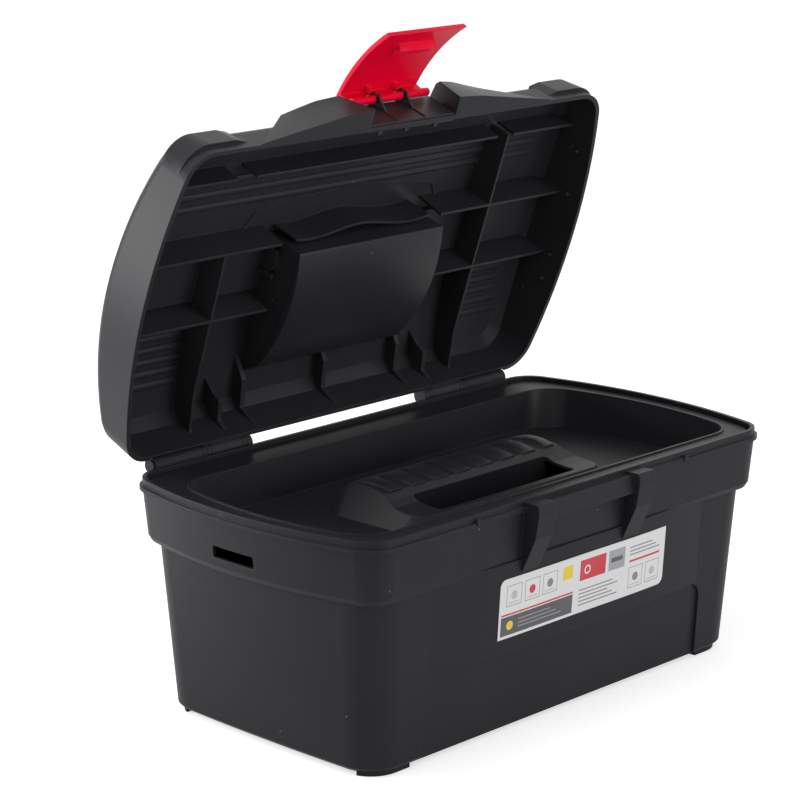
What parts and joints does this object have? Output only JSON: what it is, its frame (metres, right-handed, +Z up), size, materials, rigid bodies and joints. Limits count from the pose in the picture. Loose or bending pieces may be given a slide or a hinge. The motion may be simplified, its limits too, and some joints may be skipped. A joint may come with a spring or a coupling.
{
  "type": "toolbox with lift-out tray",
  "caption": "Plastic toolbox with a hinged lid standing open, a snap latch, a folding carry handle and a lift-out tray with a raised grip.",
  "frame": {"origin": "on the ground under the middle of the open box, lid included; the tub's own middle is 9.3 mm in front of it", "axes": "+X along the length, -Y towards the latch side, +Y towards the hinge, +Z up"},
  "size_m": [0.34, 0.2178, 0.3575],
  "materials": {
    "black_plastic": "satin",
    "red_plastic": "semi-gloss",
    "label_paper": "printed film"
  },
  "bodies": {
    "tub": {"tub": "black_plastic", "hinge_pin_left": "black_plastic", "hinge_pin_right": "black_plastic", "front_label": "label_paper"},
    "tray": {"tray": "black_plastic"},
    "lid": {"lid": "black_plastic"},
    "latch": {"latch": "red_plastic"},
    "carry_handle": {"carry_handle": "black_plastic"}
  },
  "joints": [
    {"name": "lid_hinge", "type": "hinge", "parent": "tub", "child": "lid", "pos_m": [0, 0.08544, 0.13014], "axis": [-1, 0, 0], "range_deg": [-71, 0]},
    {"name": "latch_hinge", "type": "hinge", "parent": "lid", "child": "latch", "pos_m": [0, 0.04302, 0.31754], "axis": [-1, 0, 0], "range_deg": [-79, 22]},
    {"name": "handle_hinge", "type": "hinge", "parent": "lid", "child": "carry_handle", "pos_m": [0, 0.07906, 0.23159], "axis": [1, 0, 0], "range_deg": [0, 90]},
    {"name": "tray_lift", "type": "slide", "parent": "tub", "child": "tray", "axis": [0, -0.3256, 0.9455], "range_m": [0, 0.118]}
  ]
}
